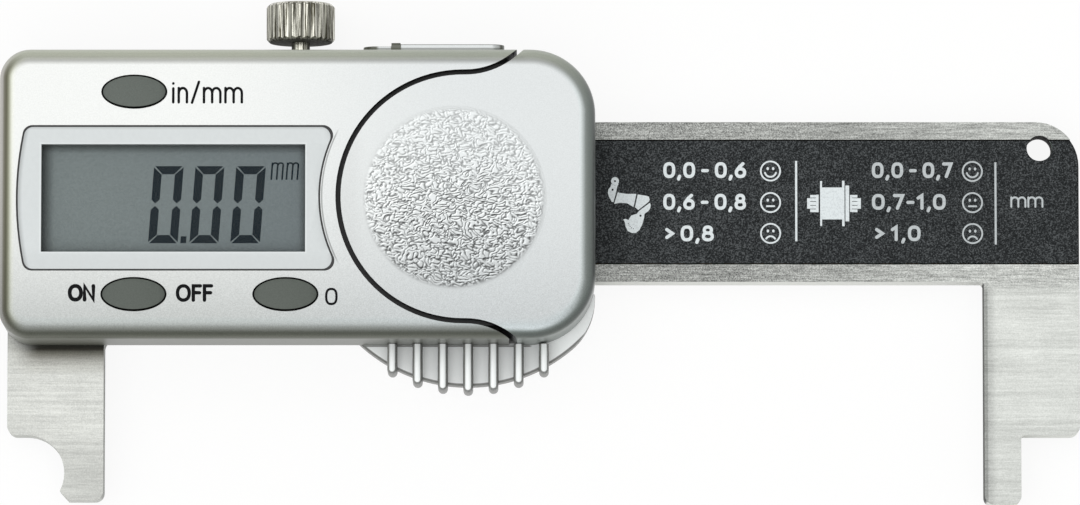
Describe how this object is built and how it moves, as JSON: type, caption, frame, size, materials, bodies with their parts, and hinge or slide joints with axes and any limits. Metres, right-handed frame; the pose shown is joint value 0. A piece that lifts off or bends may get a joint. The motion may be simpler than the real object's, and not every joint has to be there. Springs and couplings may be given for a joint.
{
  "type": "chain_wear_gauge",
  "caption": "Digital chain wear gauge: steel beam with a fixed jaw, a slider with a notched jaw, a silver display housing, push buttons, battery cover and lock screw",
  "frame": {"origin": "Middle of the slider's back face, with the slider at zero", "axes": "X along the beam towards the fixed jaw, Y across the beam away from the jaws, Z out of the display"},
  "size_m": [0.1058, 0.0496, 0.0138],
  "materials": {
    "steel": "brushed",
    "board": "solder mask",
    "black_print": "fine grain",
    "nickel": "nickel plated",
    "brass": "satin",
    "silver_paint": "silver metallic, satin",
    "black_plastic": "matte",
    "rubber": "matte",
    "glass": "grey display",
    "lens": "clear window with a grey printed border",
    "button_grey": "matte"
  },
  "bodies": {
    "beam": {"beam": "steel", "scale_strip": "board", "scale_label": "black_print", "stop_screw": "nickel"},
    "slider": {"slider_frame": "steel", "gib_strip": "brass", "gib_screws": "nickel", "thumb_rest": "silver_paint", "housing_screws": "nickel", "circuit_board": "board", "reader_chip": "black_plastic", "switch_domes": "steel", "board_screws": "nickel", "cell_contact_bottom": "brass", "cell_contact_top": "brass", "coin_cell": "steel", "connector_strips": "rubber", "display_carrier": "black_plastic", "lcd_glass": "glass", "front_housing": "silver_paint", "display_lens": "lens"},
    "unit_button": {"unit_button": "button_grey"},
    "power_button": {"power_button": "button_grey"},
    "zero_button": {"zero_button": "button_grey"},
    "battery_cover": {"battery_cover": "silver_paint"},
    "data_port_cover": {"data_port_cover": "silver_paint"},
    "lock_pad": {"lock_pad": "brass"},
    "lock_screw": {"lock_screw": "nickel"}
  },
  "joints": [
    {"name": "slider_slide", "type": "slide", "parent": "beam", "child": "slider", "axis": [-1, 0, 0], "range_m": [0, 0.01]},
    {"name": "unit_button_press", "type": "slide", "parent": "slider", "child": "unit_button", "axis": [0, 0, -1], "range_m": [0, 0.0005], "stiffness_N_per_m": 1000, "springref_m": -0.0004},
    {"name": "power_button_press", "type": "slide", "parent": "slider", "child": "power_button", "axis": [0, 0, -1], "range_m": [0, 0.0005], "stiffness_N_per_m": 1000, "springref_m": -0.0004},
    {"name": "zero_button_press", "type": "slide", "parent": "slider", "child": "zero_button", "axis": [0, 0, -1], "range_m": [0, 0.0005], "stiffness_N_per_m": 1000, "springref_m": -0.0004},
    {"name": "battery_cover_slide", "type": "slide", "parent": "slider", "child": "battery_cover", "axis": [1, 0, 0], "range_m": [0, 0.026]},
    {"name": "data_port_cover_slide", "type": "slide", "parent": "slider", "child": "data_port_cover", "axis": [1, 0, 0], "range_m": [0, 0.0085]},
    {"name": "lock_pad_slide", "type": "slide", "parent": "slider", "child": "lock_pad", "axis": [0, -1, 0], "range_m": [-0.00045, 0.0001875]},
    {"name": "lock_screw_turn", "type": "hinge", "parent": "lock_pad", "child": "lock_screw", "pos_m": [0.0001, 0.0162, 0.004], "axis": [0, -1, 0], "range_deg": [-361, 151]}
  ],
  "couplings": [
    {"joint": "lock_screw_turn", "follows": "lock_pad_slide", "rad_per_m": 13963}
  ]
}
